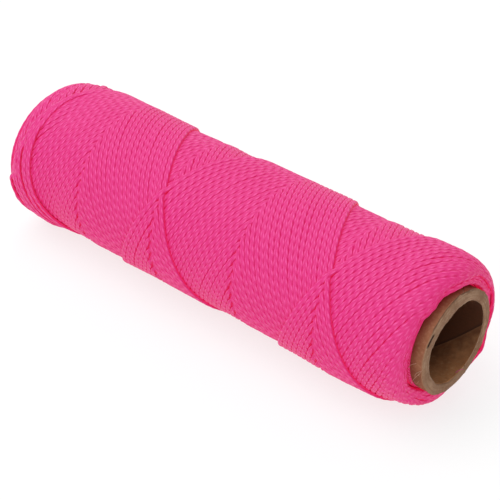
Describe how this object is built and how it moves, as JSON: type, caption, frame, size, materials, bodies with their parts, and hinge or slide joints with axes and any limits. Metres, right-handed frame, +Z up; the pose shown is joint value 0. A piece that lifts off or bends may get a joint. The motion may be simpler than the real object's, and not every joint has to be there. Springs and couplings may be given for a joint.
{
  "type": "cross-wound braided line package on paper tube",
  "caption": "Bright pink braided line cross-wound in a domed package on a plain spiral-wound paper tube, lying on its belly.",
  "frame": {"origin": "on the resting surface, under the middle of the package", "axes": "+X along the tube's axis towards the open end that the picture shows, +Z up, away from the resting surface"},
  "size_m": [0.2, 0.0592, 0.0585],
  "materials": {
    "tube_liner": "dull brown kraft board with a spiral seam",
    "tube_board": "grey-brown board, cut edge, matt and fibrous",
    "tube_wrap": "orange-brown kraft, matt",
    "line_braid": "fluorescent pink braid, soft sheen on each strand"
  },
  "bodies": {
    "root": {"core_inner_liner": "tube_liner", "core_body_ply_1": "tube_board", "core_body_ply_2": "tube_board", "core_body_ply_3": "tube_board", "core_body_ply_4": "tube_board", "core_body_ply_5": "tube_board", "core_body_ply_6": "tube_board", "core_outer_wrap": "tube_wrap", "line_inner_layers": "line_braid", "line_outer_turns": "line_braid"}
  },
  "joints": []
}
